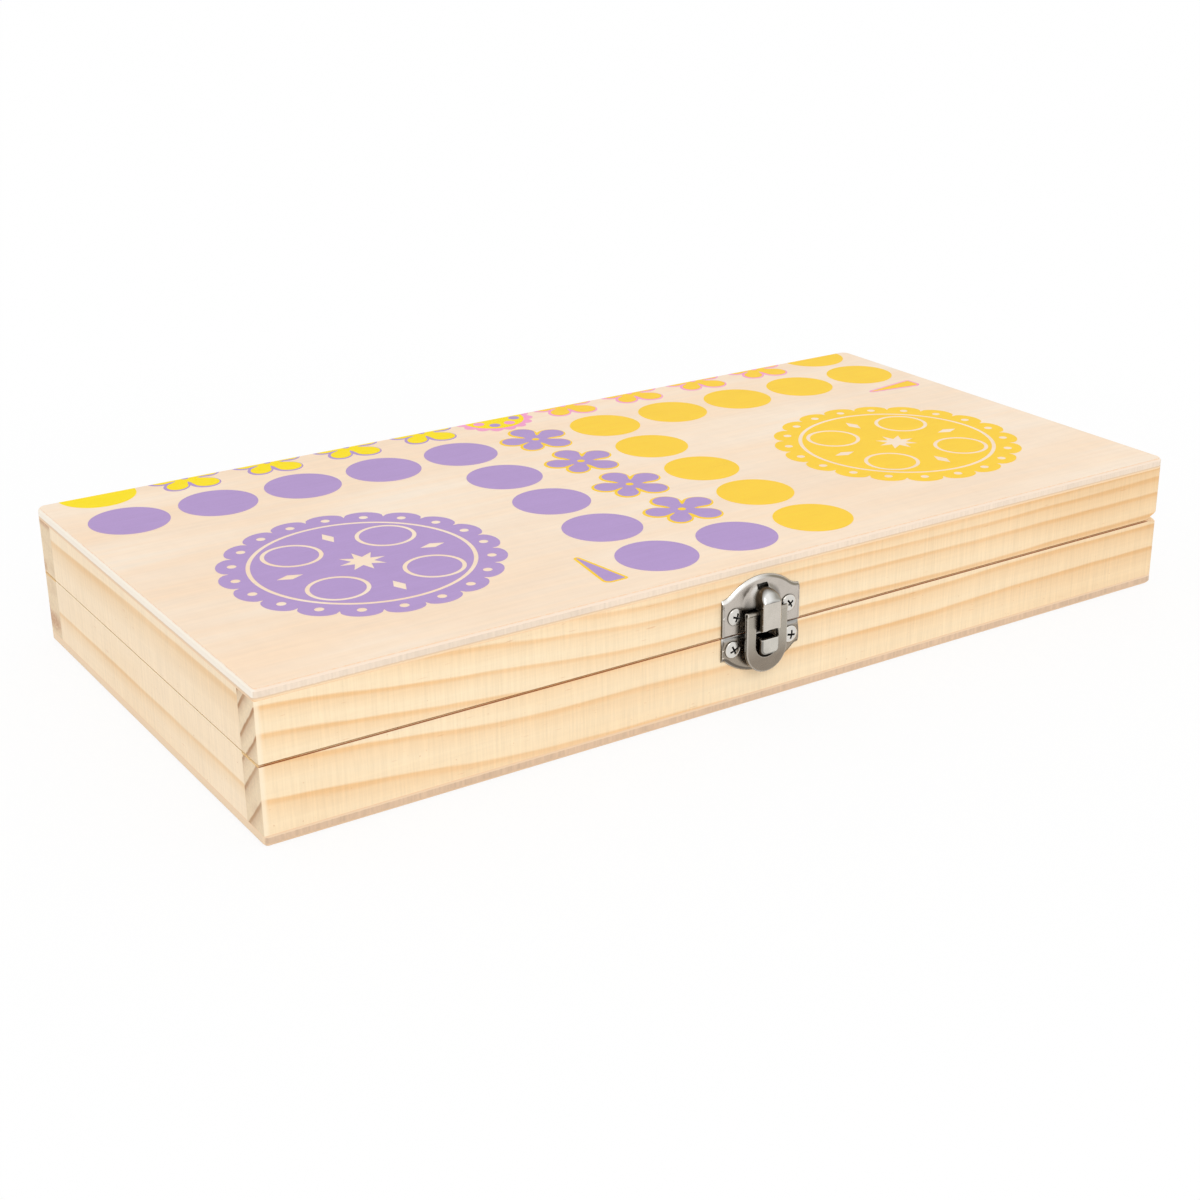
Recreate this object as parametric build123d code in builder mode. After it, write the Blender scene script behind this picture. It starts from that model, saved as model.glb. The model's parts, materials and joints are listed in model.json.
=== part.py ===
from build123d import *
import os

os.makedirs("parts", exist_ok=True)

# A folding ludo board box: two shallow trays whose bottoms are the two halves of
# the board, hinged along the back and closed by a loop latch at the front.
# X runs along the front, Y to the back and Z up.  The origin is the middle of the
# underside of the closed box.  All sizes are in millimetres.

# ---- trays
box_length = 280.0
box_width = 142.0
panel_thickness = 2.8  # three-ply playing panels
lower_rail_height = 17.1
upper_rail_height = 15.0
seam_gap = 0.3  # between the two rims when the box is closed
front_rail_thickness = 9.0
back_rail_thickness = 10.5
end_rail_thickness = 9.0
corner_radius = 2.6  # upright outer corners, except the front left one
rail_sharp_radius = 0.4  # front left corner of the rails
panel_sharp_radius = 1.2  # front left corner of the panels
rim_ease_run = 5.5  # sanded front right corner where the two rims meet, from the corner
upper_rim_ease_rise = 2.5
lower_rim_ease_rise = 1.6
panel_edge_bevel = 0.6  # outer edge of each playing face

# ---- butt hinges in the back rails
hinge_inset = 45.0  # middle of a hinge from the box's end
hinge_length = 25.0
hinge_leaf_width = 8.0  # from the pin's centre to the leaf's free edge
hinge_leaf_thickness = 0.7
knuckle_diameter = 3.2
knuckle_count = 3
knuckle_gap = 0.16  # between neighbouring knuckles
hinge_pin_diameter = 1.6
hinge_pin_fit = 0.1  # knuckle bore over pin
back_gap = 0.4  # between the two backs when the board lies open
mortise_clearance = 0.2  # around a leaf in its mortise
knuckle_clearance = 0.3  # around the knuckles in the wood and in the other leaf

# ---- screws
hinge_screw_spacing = 14.0
hinge_screw_head = 3.2
hinge_screw_shank = 1.8
hinge_screw_length = 9.5
latch_screw_head = 4.5
latch_screw_head_height = 1.0
latch_screw_shank = 2.0
latch_screw_length = 7.2
screw_fit = 0.1  # hole over shank, in wood and in metal

# ---- latch: sheet plates, hood tongue, catch lug and swinging loop
latch_offset = -4.7  # latch centre from the box centre, along X
sheet_thickness = 0.8
plate_width = 24.0
plate_setback = 0.1  # plate edge from the rim
plate_bevel_run = 1.0
plate_bevel_drop = 0.5
lid_plate_side = 9.6  # upright side of the lid plate, up to its ear
lid_plate_height = 14.1  # up to the crown of the arch
lid_arch_width = 17.4
lid_arch_rise = 3.1
base_plate_side = 6.4  # upright side of the base plate, down to its ear
base_plate_height = 10.8
base_arch_width = 21.2
base_arch_rise = 4.1
lid_screw_spacing = 16.6
lid_screw_drop = 5.0  # screw centre from the lid rim
base_screw_spacing = 18.0
base_screw_drop = 3.3  # screw centre from the base rim

pivot_height = 5.35  # loop's pivot bar above the lid rim
pivot_proud = 2.9  # pivot bar's centre out from the wood
pivot_bar_diameter = 1.3
pivot_bar_clearance = 0.2
loop_thickness = 0.9
loop_width = 12.6
loop_slot_width = 6.8
loop_length = 16.2  # from the pivot bar's centre to the loop's foot
loop_foot = 4.2  # width of the band at the foot
loop_edge = 0.2  # eased edges of the loop

dome_radius = 5.6  # pressed dome in the lid plate, behind the pivot
dome_height = 1.15
dome_rise = 1.35  # dome's centre above the pivot
dome_clearance = 0.05  # between the dome and the tongue that stands on it

tongue_width = 5.7
tongue_proud = 5.5  # front of the hood out from the wood
tongue_height = 10.7  # straight foot to crown
tongue_foot = 0.8  # hood's foot above the lid rim
tongue_edge = 0.45
tongue_tab_width = 2.4
tongue_tab_drop = 0.35  # tab's top below the hood's crown
tab_clearance = 0.3  # around the tongue's tab in the lid plate

lug_width = 5.6
lug_proud = 4.8
lug_height = 4.3
lug_drop = 1.1  # top of the lug from the base rim
lug_corner = 1.6
lug_edge = 0.45

# ---- derived places
lower_rim = panel_thickness + lower_rail_height
upper_rim = lower_rim + seam_gap
upper_panel_bottom = upper_rim + upper_rail_height
front_face = -box_width / 2
back_face = box_width / 2
rail_inner_front = front_face + front_rail_thickness
rail_inner_back = back_face - back_rail_thickness
hinge_axis_y = back_face + back_gap / 2
hinge_axis_z = lower_rim + seam_gap / 2
hinge_bore = hinge_pin_diameter + hinge_pin_fit
leaf_free_edge = hinge_axis_y - hinge_leaf_width
knuckle_relief = knuckle_diameter / 2 + knuckle_clearance
leaf_knuckle_edge = hinge_axis_y - knuckle_relief
hinge_screw_y = (leaf_free_edge + leaf_knuckle_edge) / 2
hinge_centres = {"left": hinge_inset - box_length / 2, "right": box_length / 2 - hinge_inset}
lid_plate_bottom = upper_rim + plate_setback
base_plate_top = lower_rim - plate_setback
pivot_z = upper_rim + pivot_height
dome_z = pivot_z + dome_rise
tongue_bottom = upper_rim + tongue_foot
tongue_top = tongue_bottom + tongue_height
tab_centre_z = tongue_top - tongue_tab_drop - sheet_thickness / 2
lug_top = lower_rim - lug_drop
lug_bottom = lug_top - lug_height
lid_screw_z = upper_rim + lid_screw_drop
base_screw_z = lower_rim - base_screw_drop

# The latch is drawn on the front face: its local x runs along X, its local y is Z
# and its normal points out of the box.
latch_face = Plane(origin=(latch_offset, front_face, 0), x_dir=(1, 0, 0), z_dir=(0, -1, 0))


def finish(builder, name):
    """Labels a finished piece and writes it to its own file."""
    builder.part.label = name
    export_step(builder.part, f"parts/{name}.step")


def cap_radius(half_chord, rise):
    """Radius of the arc that rises by rise over half its chord."""
    return (half_chord**2 + rise**2) / (2 * rise)


# ------------------------------------------------------------------ screws
with BuildPart() as hinge_screw:
    # Countersunk: the flat of the head is at Z = 0 and the shank points down.
    head_depth = (hinge_screw_head - hinge_screw_shank) / 2
    with BuildSketch(Plane.XZ):
        with BuildLine():
            Polyline(
                (0, 0),
                (hinge_screw_head / 2, 0),
                (hinge_screw_shank / 2, -head_depth),
                (hinge_screw_shank / 2, -hinge_screw_length),
                (0, -hinge_screw_length),
                close=True,
            )
        make_face()
    revolve(axis=Axis.Z)

with BuildPart() as latch_screw:
    # Round head: its seat is at Z = 0 and the shank points down.
    with BuildSketch(Plane.XY):
        Circle(latch_screw_head / 2)
    extrude(amount=latch_screw_head_height)
    with BuildSketch(Plane.XY):
        Circle(latch_screw_shank / 2)
    extrude(amount=-latch_screw_length)


def hinge_screw_seats(rim, direction):
    """Planes on one rim, two to a leaf; direction is +1 or -1 along Z, out of the rim."""
    seats = []
    for centre in hinge_centres.values():
        for side in (-1, 1):
            at = (centre + side * hinge_screw_spacing / 2, hinge_screw_y, rim)
            seats.append(Plane(origin=at, x_dir=(1, 0, 0), z_dir=(0, 0, direction)))
    return seats


def latch_screw_seats(spacing, height):
    """Planes on the front of a latch plate, normal out of the box."""
    seats = []
    for side in (-1, 1):
        at = (latch_offset + side * spacing / 2, front_face - sheet_thickness, height)
        seats.append(Plane(origin=at, x_dir=(1, 0, 0), z_dir=(0, -1, 0)))
    return seats


lower_hinge_seats = hinge_screw_seats(lower_rim, 1)
upper_hinge_seats = hinge_screw_seats(upper_rim, -1)
base_latch_seats = latch_screw_seats(base_screw_spacing, base_screw_z)
lid_latch_seats = latch_screw_seats(lid_screw_spacing, lid_screw_z)


# ------------------------------------------------------------------- trays
def box_outline(sharp_radius):
    """The box's outline seen from above, its front left corner rounded by sharp_radius."""
    with BuildSketch() as outline:
        Rectangle(box_length, box_width)
        from_front_left = outline.vertices().sort_by(lambda corner: corner.X + corner.Y)
        fillet(from_front_left[1:], corner_radius)
        fillet(outline.vertices().sort_by(lambda corner: corner.X + corner.Y)[0], sharp_radius)
    return outline.sketch


def board_panel(name, bottom, outer_face):
    """A playing panel; outer_face picks the face whose edge is eased, -1 top or 0 bottom."""
    with BuildPart() as panel:
        with BuildSketch(Plane.XY.offset(bottom)):
            add(box_outline(panel_sharp_radius))
        extrude(amount=panel_thickness)
        chamfer(panel.faces().sort_by(Axis.Z)[outer_face].edges(), panel_edge_bevel)
    finish(panel, name)


def rail_blank(length, thickness, centre, bottom, height):
    """Adds a plain rail that follows the box's rounded outline."""
    with BuildSketch(Plane.XY.offset(bottom)) as outline:
        add(box_outline(rail_sharp_radius))
        with Locations(centre):
            Rectangle(length, thickness, mode=Mode.INTERSECT)
    extrude(outline.sketch, amount=height)


def front_rail(name, bottom, height, rim, ease, screw_seats):
    """Full-length front rail with the latch's pilot holes; ease cuts its right rim corner."""
    centre = (0, front_face + front_rail_thickness / 2)
    with BuildPart() as rail:
        rail_blank(box_length, front_rail_thickness, centre, bottom, height)
        split(bisect_by=ease, keep=Keep.BOTTOM)
        with Locations(*screw_seats):
            Hole((latch_screw_shank + screw_fit) / 2, depth=latch_screw_length + screw_fit)
    finish(rail, name)


def back_rail(name, bottom, height, rim, inward, screw_seats):
    """Full-length back rail with the hinges' mortises, knuckle reliefs and pilot holes."""
    centre = (0, back_face - back_rail_thickness / 2)
    mortise_length = hinge_length + 2 * mortise_clearance
    mortise_reach = back_face - leaf_free_edge + mortise_clearance
    with BuildPart() as rail:
        rail_blank(box_length, back_rail_thickness, centre, bottom, height)
        with BuildSketch(Plane.XY.offset(rim)):
            for hinge_x in hinge_centres.values():
                with Locations((hinge_x, back_face - mortise_reach)):
                    Rectangle(mortise_length, mortise_reach, align=(Align.CENTER, Align.MIN))
        extrude(amount=inward * hinge_leaf_thickness, mode=Mode.SUBTRACT)
        with BuildSketch(Plane.XY.offset(hinge_axis_z)):
            for hinge_x in hinge_centres.values():
                with Locations((hinge_x, hinge_axis_y)):
                    Rectangle(mortise_length, 2 * knuckle_relief)
        extrude(amount=inward * knuckle_relief, mode=Mode.SUBTRACT)
        with Locations(*screw_seats):
            Hole((hinge_screw_shank + screw_fit) / 2, depth=hinge_screw_length + screw_fit)
    finish(rail, name)


def end_rail(name, side, bottom, height):
    """Short rail between the front and back rails; side is -1 left or +1 right."""
    length = rail_inner_back - rail_inner_front
    centre_x = side * (box_length - end_rail_thickness) / 2
    centre_y = (rail_inner_back + rail_inner_front) / 2
    with BuildPart() as rail:
        rail_blank(end_rail_thickness, length, (centre_x, centre_y), bottom, height)
    finish(rail, name)


lower_rim_ease = Plane(
    origin=(box_length / 2 - rim_ease_run, front_face, lower_rim),
    z_dir=(lower_rim_ease_rise, -lower_rim_ease_rise, rim_ease_run),
)
upper_rim_ease = Plane(
    origin=(box_length / 2 - rim_ease_run, front_face, upper_rim),
    z_dir=(upper_rim_ease_rise, -upper_rim_ease_rise, -rim_ease_run),
)

board_panel("lower_board_panel", 0, 0)
front_rail(
    "lower_front_rail", panel_thickness, lower_rail_height, lower_rim, lower_rim_ease, base_latch_seats
)
back_rail("lower_back_rail", panel_thickness, lower_rail_height, lower_rim, -1, lower_hinge_seats)
end_rail("lower_left_end_rail", -1, panel_thickness, lower_rail_height)
end_rail("lower_right_end_rail", 1, panel_thickness, lower_rail_height)

board_panel("upper_board_panel", upper_panel_bottom, -1)
front_rail(
    "upper_front_rail", upper_rim, upper_rail_height, upper_rim, upper_rim_ease, lid_latch_seats
)
back_rail("upper_back_rail", upper_rim, upper_rail_height, upper_rim, 1, upper_hinge_seats)
end_rail("upper_left_end_rail", -1, upper_rim, upper_rail_height)
end_rail("upper_right_end_rail", 1, upper_rim, upper_rail_height)


# ------------------------------------------------------------------ hinges
def hinge_leaf(name, hinge_x, rim, inward, first_knuckle, screw_seats):
    """One leaf let into a rim, with every second knuckle from first_knuckle on."""
    pitch = hinge_length / knuckle_count
    knuckle_length = pitch - knuckle_gap
    starts = [hinge_x - hinge_length / 2 + i * pitch for i in range(first_knuckle, knuckle_count, 2)]
    with BuildPart() as leaf:
        with BuildSketch(Plane.XY.offset(rim)):
            with Locations((hinge_x, leaf_free_edge)):
                plate_depth = leaf_knuckle_edge - leaf_free_edge
                Rectangle(hinge_length, plate_depth, align=(Align.CENTER, Align.MIN))
            for start in starts:
                with Locations((start + knuckle_gap / 2, leaf_knuckle_edge)):
                    tab_reach = hinge_axis_y - leaf_knuckle_edge
                    Rectangle(knuckle_length, tab_reach, align=(Align.MIN, Align.MIN))
        extrude(amount=inward * hinge_leaf_thickness)
        for start in starts:
            with BuildSketch(Plane.YZ.offset(start + knuckle_gap / 2)):
                with Locations((hinge_axis_y, hinge_axis_z)):
                    Circle(knuckle_diameter / 2)
            extrude(amount=knuckle_length)
        with BuildSketch(Plane.YZ.offset(hinge_x)):
            with Locations((hinge_axis_y, hinge_axis_z)):
                Circle(hinge_bore / 2)
        extrude(amount=hinge_length, both=True, mode=Mode.SUBTRACT)
        with Locations(*screw_seats):
            CounterSinkHole(
                (hinge_screw_shank + screw_fit) / 2,
                (hinge_screw_head + screw_fit) / 2,
                depth=hinge_leaf_thickness,
                counter_sink_angle=90,
            )
    finish(leaf, name)


for side_name, centre in hinge_centres.items():
    hinge_leaf(f"{side_name}_hinge_lower_leaf", centre, lower_rim, -1, 0, lower_hinge_seats)
    hinge_leaf(f"{side_name}_hinge_upper_leaf", centre, upper_rim, 1, 1, upper_hinge_seats)
    with BuildPart() as hinge_pin:
        with BuildSketch(Plane.YZ.offset(centre)):
            with Locations((hinge_axis_y, hinge_axis_z)):
                Circle(hinge_pin_diameter / 2)
        extrude(amount=(hinge_length - knuckle_gap) / 2, both=True)
    finish(hinge_pin, f"{side_name}_hinge_pin")

with BuildPart() as lower_hinge_screws:
    with Locations(*lower_hinge_seats):
        add(hinge_screw.part)
finish(lower_hinge_screws, "lower_hinge_screws")

with BuildPart() as upper_hinge_screws:
    with Locations(*upper_hinge_seats):
        add(hinge_screw.part)
finish(upper_hinge_screws, "upper_hinge_screws")


# ------------------------------------------------------------------- latch
def plate_outline(edge, side, arch_width, arch_rise, height):
    """Adds a plate outline from its straight edge; a negative side and height run down."""
    way = 1 if height > 0 else -1
    ear = (plate_width / 2, edge + side)
    arch_foot = (arch_width / 2, edge + height - way * arch_rise)
    arch_radius = cap_radius(arch_width / 2, arch_rise)
    with BuildLine() as outline:
        Line((0, edge), (plate_width / 2, edge))
        Line((plate_width / 2, edge), ear)
        arch = RadiusArc((0, edge + height), arch_foot, way * arch_radius)
        TangentArc(arch_foot, ear, tangent=arch % 1)
        mirror(about=Plane.YZ)
    make_face(outline.edges())


def lug_form(inset, base):
    """The catch lug's form standing on base, every wall set in by inset, open at the top."""
    half_width = lug_width / 2 - inset
    with BuildPart() as form:
        with BuildSketch(latch_face.offset(base)) as outline:
            with Locations((0, lug_bottom + inset)):
                Rectangle(2 * half_width, lug_height, align=(Align.CENTER, Align.MIN))
            fillet(outline.vertices().group_by(Axis.Y)[0], lug_corner - inset)
            with Locations((0, lug_top)):
                Rectangle(lug_width, lug_height, align=(Align.CENTER, Align.MIN), mode=Mode.SUBTRACT)
        extrude(amount=lug_proud - inset - base)
        if inset == 0:
            chamfer(form.faces().sort_by(Axis.Y)[0].edges(), lug_edge)
    return form.part


with BuildPart() as latch_base_plate:
    with BuildSketch(latch_face):
        plate_outline(
            base_plate_top, -base_plate_side, base_arch_width, base_arch_rise, -base_plate_height
        )
    extrude(amount=sheet_thickness)
    plate_front = latch_base_plate.faces().sort_by(Axis.Y)[0]
    rim_edge = plate_front.edges().sort_by(Axis.Z)[-1]
    chamfer(rim_edge, plate_bevel_run, plate_bevel_drop, reference=plate_front)
    add(lug_form(0, 0))
    add(lug_form(sheet_thickness, 0), mode=Mode.SUBTRACT)
    with Locations(*base_latch_seats):
        Hole((latch_screw_shank + screw_fit) / 2, depth=latch_screw_length)
finish(latch_base_plate, "latch_base_plate")


def dome_form(clearance):
    """The pressed dome's cap, standing on the front of the lid plate's sheet."""
    height = dome_height + clearance
    sphere_radius = cap_radius(dome_radius, height)
    cap_base = latch_face.offset(sheet_thickness)
    with BuildPart() as cap:
        with Locations((latch_offset, cap_base.origin.Y + sphere_radius - height, dome_z)):
            Sphere(sphere_radius)
        split(bisect_by=cap_base, keep=Keep.TOP)
    return cap.part


with BuildPart() as latch_lid_plate:
    with BuildSketch(latch_face):
        plate_outline(
            lid_plate_bottom, lid_plate_side, lid_arch_width, lid_arch_rise, lid_plate_height
        )
    extrude(amount=sheet_thickness)
    chamfer(
        latch_lid_plate.faces().sort_by(Axis.Y)[0].edges().filter_by(GeomType.CIRCLE), plate_bevel_drop
    )
    add(dome_form(0))
    with BuildSketch(latch_face.offset(sheet_thickness + dome_height)):
        with Locations((0, tab_centre_z)):
            Rectangle(tongue_tab_width + 2 * tab_clearance, sheet_thickness + 2 * tab_clearance)
    extrude(amount=-2 * sheet_thickness - dome_height, mode=Mode.SUBTRACT)
    with Locations(*lid_latch_seats):
        Hole((latch_screw_shank + screw_fit) / 2, depth=latch_screw_length)
finish(latch_lid_plate, "latch_lid_plate")


def hood_form(inset, base):
    """The tongue's hood standing on base, its front, sides and crown set in by inset."""
    half_width = tongue_width / 2 - inset
    front = front_face - tongue_proud + inset
    crown_z = tongue_top - inset
    crown_radius = tongue_proud - inset - sheet_thickness
    shoulder_z = crown_z - crown_radius
    with BuildPart() as form:
        with BuildSketch(Plane.YZ.offset(latch_offset)):
            with BuildLine():
                Polyline(
                    (front_face - sheet_thickness, crown_z),
                    (front_face, crown_z),
                    (front_face, tongue_bottom),
                    (front, tongue_bottom),
                    (front, shoulder_z),
                )
                CenterArc((front_face - sheet_thickness, shoulder_z), crown_radius, 90, 90)
            make_face()
        extrude(amount=half_width, both=True)
        with BuildSketch(latch_face.offset(base)):
            with Locations((0, crown_z - half_width)):
                Circle(half_width)
                Rectangle(
                    2 * half_width, tongue_height, align=(Align.CENTER, Align.MAX)
                )
        extrude(amount=tongue_proud, mode=Mode.INTERSECT)
        if inset == 0:
            seat_y = front_face - base - tongue_edge
            foot_z = tongue_bottom + tongue_edge
            outer = form.edges().filter_by(lambda edge: edge.center().Y < seat_y)
            chamfer(outer.filter_by(lambda edge: edge.center().Z > foot_z), tongue_edge)
    return form.part


with BuildPart() as latch_tongue:
    add(hood_form(0, sheet_thickness))
    add(hood_form(sheet_thickness, 0), mode=Mode.SUBTRACT)
    # The back edges of the side walls follow the dome that they stand on.
    add(dome_form(dome_clearance), mode=Mode.SUBTRACT)
    # Tab that passes through the lid plate's slot and holds the hood.
    with BuildSketch(latch_face):
        with Locations((0, tab_centre_z)):
            Rectangle(tongue_tab_width, sheet_thickness)
    extrude(amount=2 * sheet_thickness)
    # Notches in the two side walls, open at the back, that hold the loop's bar.
    with BuildSketch(Plane.YZ.offset(latch_offset)):
        with Locations((front_face - pivot_proud, pivot_z)):
            Circle(pivot_bar_diameter / 2 + pivot_bar_clearance)
            Rectangle(
                pivot_proud,
                pivot_bar_diameter + 2 * pivot_bar_clearance,
                align=(Align.MIN, Align.CENTER),
            )
    extrude(amount=tongue_width, both=True, mode=Mode.SUBTRACT)
finish(latch_tongue, "latch_tongue")

with BuildPart() as latch_loop:
    foot_centre_z = pivot_z - loop_length + loop_width / 2
    slot_centre_z = pivot_z - loop_length + loop_foot + loop_slot_width / 2
    bar_radius = pivot_bar_diameter / 2
    with BuildSketch(latch_face.offset(pivot_proud - loop_thickness / 2)):
        with Locations((0, foot_centre_z)):
            Circle(loop_width / 2)
            Rectangle(loop_width, pivot_z - foot_centre_z, align=(Align.CENTER, Align.MIN))
        with Locations((0, slot_centre_z)):
            Circle(loop_slot_width / 2, mode=Mode.SUBTRACT)
            Rectangle(
                loop_slot_width,
                pivot_z - slot_centre_z,
                align=(Align.CENTER, Align.MIN),
                mode=Mode.SUBTRACT,
            )
    extrude(amount=loop_thickness)
    chamfer(latch_loop.faces().sort_by(Axis.Y)[0].edges(), loop_edge)
    # Round bar across the top: the loop turns on it behind the hood.
    with BuildSketch(Plane.YZ.offset(latch_offset)):
        with Locations((front_face - pivot_proud, pivot_z)):
            Circle(bar_radius)
    extrude(amount=loop_width / 2, both=True)
finish(latch_loop, "latch_loop")

with BuildPart() as base_latch_screws:
    with Locations(*base_latch_seats):
        add(latch_screw.part)
finish(base_latch_screws, "base_latch_screws")

with BuildPart() as lid_latch_screws:
    with Locations(*lid_latch_seats):
        add(latch_screw.part)
finish(lid_latch_screws, "lid_latch_screws")
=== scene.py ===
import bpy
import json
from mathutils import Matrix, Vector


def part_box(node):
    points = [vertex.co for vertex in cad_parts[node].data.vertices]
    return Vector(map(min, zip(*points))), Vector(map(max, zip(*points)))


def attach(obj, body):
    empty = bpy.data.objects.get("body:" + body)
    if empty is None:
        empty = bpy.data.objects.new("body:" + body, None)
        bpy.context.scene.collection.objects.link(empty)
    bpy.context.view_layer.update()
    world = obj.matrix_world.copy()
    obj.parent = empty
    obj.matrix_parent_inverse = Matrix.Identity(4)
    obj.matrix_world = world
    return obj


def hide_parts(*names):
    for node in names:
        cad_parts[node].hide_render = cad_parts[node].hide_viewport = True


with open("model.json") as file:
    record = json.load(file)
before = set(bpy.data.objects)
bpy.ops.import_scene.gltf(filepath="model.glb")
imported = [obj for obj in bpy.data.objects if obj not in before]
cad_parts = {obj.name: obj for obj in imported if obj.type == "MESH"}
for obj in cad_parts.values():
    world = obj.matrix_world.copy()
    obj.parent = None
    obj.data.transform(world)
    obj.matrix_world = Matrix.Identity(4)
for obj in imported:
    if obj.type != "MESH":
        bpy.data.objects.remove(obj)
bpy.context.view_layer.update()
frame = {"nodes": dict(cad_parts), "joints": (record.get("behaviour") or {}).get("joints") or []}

import json
from functools import partialmethod, reduce
from math import asin, atan2, cos, hypot, inf, pi, radians, sin, sqrt, tan, tau

import bmesh
import bpy
from mathutils import Matrix, Quaternion, Vector
from mathutils.geometry import delaunay_2d_cdt, tessellate_polygon

# A folding ludo board box.  Objects are in metres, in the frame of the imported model: X
# along the front, Y to the hinged back, Z up from the table.  Sizes below are in mm.
MM = 0.001
nodes = frame["nodes"]
joint_at = {joint["name"]: Vector(joint["pos_m"]) / MM for joint in frame["joints"]}
scene = bpy.context.scene


def box(node):
    """The low and the high corner of a CAD node's box, in mm."""
    return [[value / MM for value in corner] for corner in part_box(node)]


(LEFT, FRONT, _), (_, _, TOP) = box("upper_board_panel")


def add_object(name, data):
    made = bpy.data.objects.new(name, data)
    scene.collection.objects.link(made)
    return made


# ---- node helpers
class Nodes:
    """One node tree; its methods add nodes and return their outputs."""

    def __init__(self, tree):
        self.tree = tree

    def node(self, kind, **settings):
        made = self.tree.nodes.new(kind)
        for key, value in settings.items():
            setattr(made, key, value)
        return made

    def feed(self, socket, value):
        """Links an output to a socket, or writes a plain value on it."""
        if isinstance(value, bpy.types.NodeSocket):
            self.tree.links.new(value, socket)
        else:
            socket.default_value = value[:3] if socket.type == "VECTOR" else value

    def fill(self, made, *values):
        """Feeds a node's inputs in order and returns the node's first output."""
        for socket, value in zip(made.inputs, values):
            self.feed(socket, value)
        return made.outputs[0]

    def put(self, made, **inputs):
        """Feeds a node's inputs by name, with underscores for spaces."""
        for key, value in inputs.items():
            self.feed(made.inputs[key.replace("_", " ")], value)
        return made

    def math(self, operation, *values):
        return self.fill(self.node("ShaderNodeMath", operation=operation), *values)

    times = partialmethod(math, "MULTIPLY")
    plus = partialmethod(math, "ADD")
    minus = partialmethod(math, "SUBTRACT")
    size = partialmethod(math, "ABSOLUTE")

    def seen_directly(self):
        """1 on camera, glossy and transmission rays, and 0 on those that carry the light."""
        rays = self.node("ShaderNodeLightPath").outputs
        seen = self.math("MAXIMUM", rays["Is Camera Ray"], rays["Is Glossy Ray"])
        return self.math("MAXIMUM", seen, rays["Is Transmission Ray"])


class Finish(Nodes):
    """One procedural material."""

    def __init__(self, name, seed=0.0):
        self.seed = seed
        self.material = bpy.data.materials.new(name)
        self.material.use_nodes = True
        super().__init__(self.material.node_tree)
        self.shader = self.tree.nodes["Principled BSDF"]
        where = self.node("ShaderNodeTexCoord")
        in_mm = self.node("ShaderNodeVectorMath", operation="SCALE")
        self.place = self.put(in_mm, Vector=where.outputs["Object"], Scale=1 / MM).outputs[0]
        self.facing = where.outputs["Normal"]

    def gap(self, first, second):
        """How far apart two values are."""
        return self.size(self.minus(first, second))

    def vector(self, operation, *values):
        made = self.node("ShaderNodeVectorMath", operation=operation)
        self.fill(made, *values)
        return made.outputs["Value" if operation == "LENGTH" else "Vector"]

    def split(self, vector):
        made = self.node("ShaderNodeSeparateXYZ")
        self.fill(made, vector)
        return made.outputs

    def join(self, x, y, z):
        return self.fill(self.node("ShaderNodeCombineXYZ"), x, y, z)

    def noise(self, step, scale, detail, stretch=(1, 1, 1)):
        """Noise near 0.5, scale features per mm; step sets a material's noises apart."""
        seed = self.seed + step
        moved = self.vector("MULTIPLY", self.place, stretch)
        moved = self.vector("ADD", moved, (seed, seed * 0.7, seed * 1.3))
        made = self.node("ShaderNodeTexNoise")
        return self.put(made, Vector=moved, Scale=scale, Detail=detail).outputs["Fac"]

    def ramp(self, value, stops, interpolation="LINEAR"):
        """A value looked up between (position, grey) stops."""
        made = self.node("ShaderNodeValToRGB")
        made.color_ramp.interpolation = interpolation
        elements = made.color_ramp.elements
        while len(elements) < len(stops):
            elements.new(1.0)
        for element, (position, grey) in zip(elements, stops):
            element.position = position
            element.color = (grey, grey, grey, 1)
        return self.fill(made, value)

    def span(self, value, low, high, out_low=0.0, out_high=1.0, kind="LINEAR"):
        """Maps low..high to out_low..out_high, held at the ends."""
        made = self.node("ShaderNodeMapRange", interpolation_type=kind)
        return self.fill(made, value, low, high, out_low, out_high)

    def vary(self, noise, low, high, reach=0.2):
        """Spreads the usual range of a noise, reach to each side of 0.5, over low..high."""
        return self.span(noise, 0.5 - reach, 0.5 + reach, low, high)

    def stain(self, base, colour, value, low, high, out_low=0.0, out_high=1.0):
        """Lays a colour over another one by a share that spans as span() says."""
        return self.mix(self.span(value, low, high, out_low, out_high), base, colour)

    def mix(self, share, first, second):
        made = self.node("ShaderNodeMix", data_type="RGBA")
        for socket, value in ((0, share), (6, first), (7, second)):
            self.feed(made.inputs[socket], value)
        return made.outputs[2]

    def tint(self, colour, *amounts):
        """Multiplies a colour by grey factors that lie about 1."""
        factor = reduce(self.times, amounts)
        return self.vector("MULTIPLY", colour, self.join(factor, factor, factor))

    def bump(self, height, distance, strength):
        made = self.node("ShaderNodeBump")
        self.put(made, Height=height, Distance=distance * MM, Strength=strength)
        self.put(self.shader, Normal=made.outputs[0])

    def surface(self, **inputs):
        self.put(self.shader, **inputs)
        return self.material


def srgb(red, green, blue):
    """A screen colour from 0 to 255 as the linear colour that shaders take."""
    def linear(level):
        share = level / 255
        return share / 12.92 if share <= 0.04045 else ((share + 0.055) / 1.055) ** 2.4
    return (linear(red), linear(green), linear(blue), 1.0)


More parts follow.
